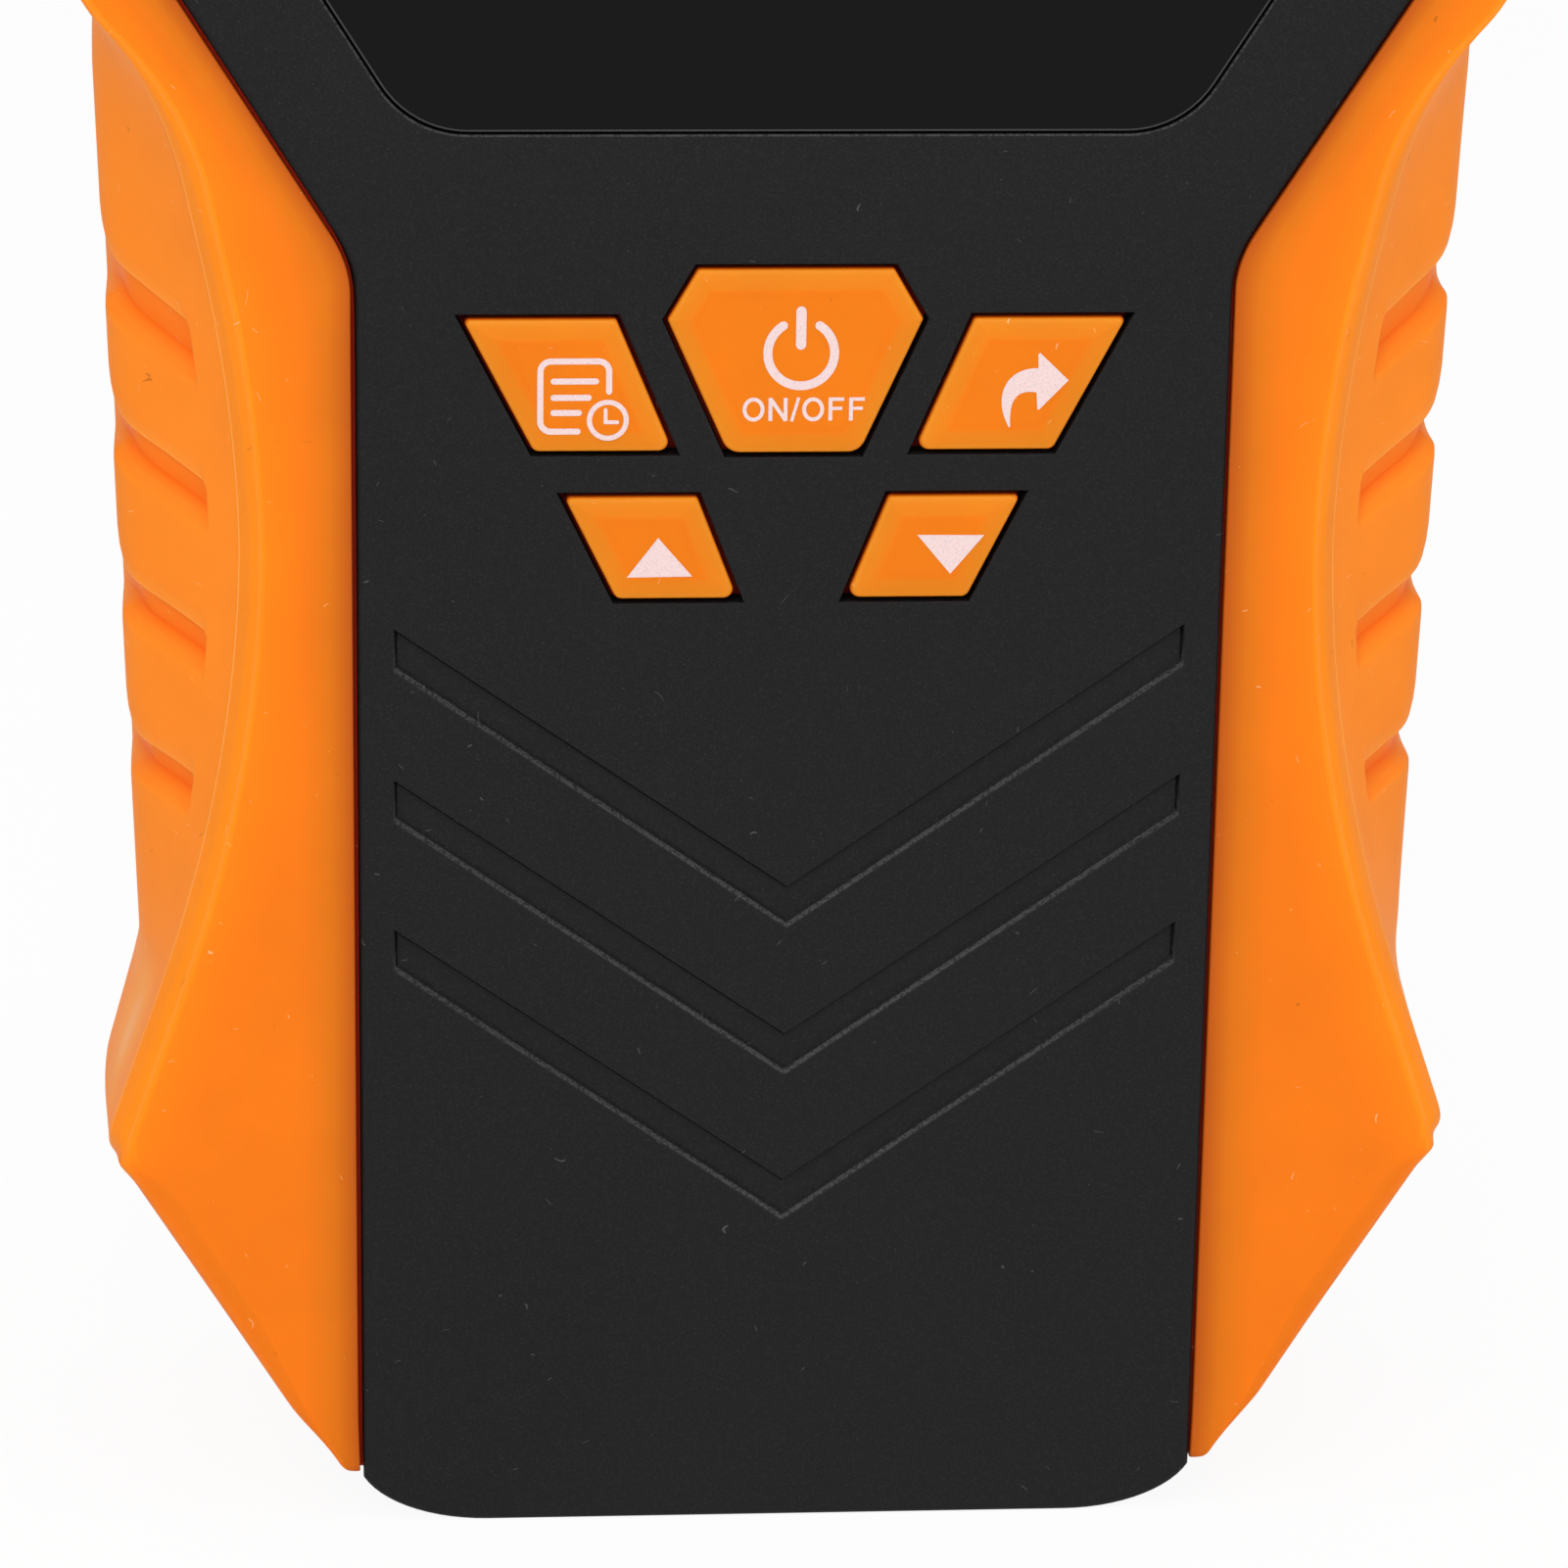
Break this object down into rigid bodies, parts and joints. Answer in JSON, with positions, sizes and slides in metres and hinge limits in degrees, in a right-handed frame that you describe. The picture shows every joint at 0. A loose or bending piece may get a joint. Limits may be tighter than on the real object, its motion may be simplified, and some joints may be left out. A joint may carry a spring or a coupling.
{
  "type": "stud finder",
  "caption": "Hand-held stud finder: black shell with a smoked display lens, five sprung orange keys, two ribbed orange grips and a lift-off battery door.",
  "frame": {"origin": "centre of the object's box in X and Y, at the flat end of the chin", "axes": "+Z from the chin to the sensing head, -Y out of the display and key side, +Y towards the wall being searched, +X to the right when looking at the keys"},
  "size_m": [0.098, 0.033, 0.17],
  "materials": {
    "black_shell": "fine matte texture",
    "orange_rubber": "satin silicone rubber",
    "key_rubber": "translucent satin silicone rubber",
    "smoked_lens": "gloss, dark smoke",
    "display_glass": "gloss",
    "white_plastic": "diffuse",
    "circuit_board": "solder mask",
    "chip_plastic": "moulded epoxy",
    "copper": "bare copper",
    "steel": "nickel plated",
    "foam": "dense foam and felt",
    "battery_can": "printed steel",
    "lead_sleeve": "satin"
  },
  "bodies": {
    "case": {"front_cover": "black_shell", "display_lens": "smoked_lens", "lens_gasket": "foam", "rear_shell": "black_shell", "left_grip": "orange_rubber", "right_grip": "orange_rubber", "keypad_mat": "key_rubber", "switch_domes": "steel", "main_board": "circuit_board", "control_chip": "chip_plastic", "board_parts": "chip_plastic", "buzzer": "chip_plastic", "board_screws": "steel", "lcd_glass": "display_glass", "lcd_bezel": "steel", "backlight": "white_plastic", "display_flex": "copper", "sensor_board": "circuit_board", "sensor_plates": "copper", "metal_coil": "copper", "ribbon_sockets": "chip_plastic", "board_ribbon": "white_plastic", "battery": "battery_can", "battery_studs": "steel", "battery_snap": "chip_plastic", "battery_leads": "lead_sleeve", "case_screws": "steel", "glide_pads": "foam"},
    "power_button": {"power_key": "key_rubber"},
    "list_button": {"list_key": "key_rubber"},
    "back_button": {"back_key": "key_rubber"},
    "up_button": {"up_key": "key_rubber"},
    "down_button": {"down_key": "key_rubber"},
    "door": {"battery_door": "black_shell", "door_foam": "foam"}
  },
  "joints": [
    {"name": "power_press", "type": "slide", "parent": "case", "child": "power_button", "axis": [0, 1, 0], "range_m": [0, 0.0008], "stiffness_N_per_m": 1200, "springref_m": -0.0002},
    {"name": "list_press", "type": "slide", "parent": "case", "child": "list_button", "axis": [0, 1, 0], "range_m": [0, 0.0008], "stiffness_N_per_m": 1200, "springref_m": -0.0002},
    {"name": "back_press", "type": "slide", "parent": "case", "child": "back_button", "axis": [0, 1, 0], "range_m": [0, 0.0008], "stiffness_N_per_m": 1200, "springref_m": -0.0002},
    {"name": "up_press", "type": "slide", "parent": "case", "child": "up_button", "axis": [0, 1, 0], "range_m": [0, 0.0008], "stiffness_N_per_m": 1200, "springref_m": -0.0002},
    {"name": "down_press", "type": "slide", "parent": "case", "child": "down_button", "axis": [0, 1, 0], "range_m": [0, 0.0008], "stiffness_N_per_m": 1200, "springref_m": -0.0002},
    {"name": "door_lift", "type": "slide", "parent": "case", "child": "door", "axis": [0, 1, 0], "range_m": [0, 0.03]}
  ]
}
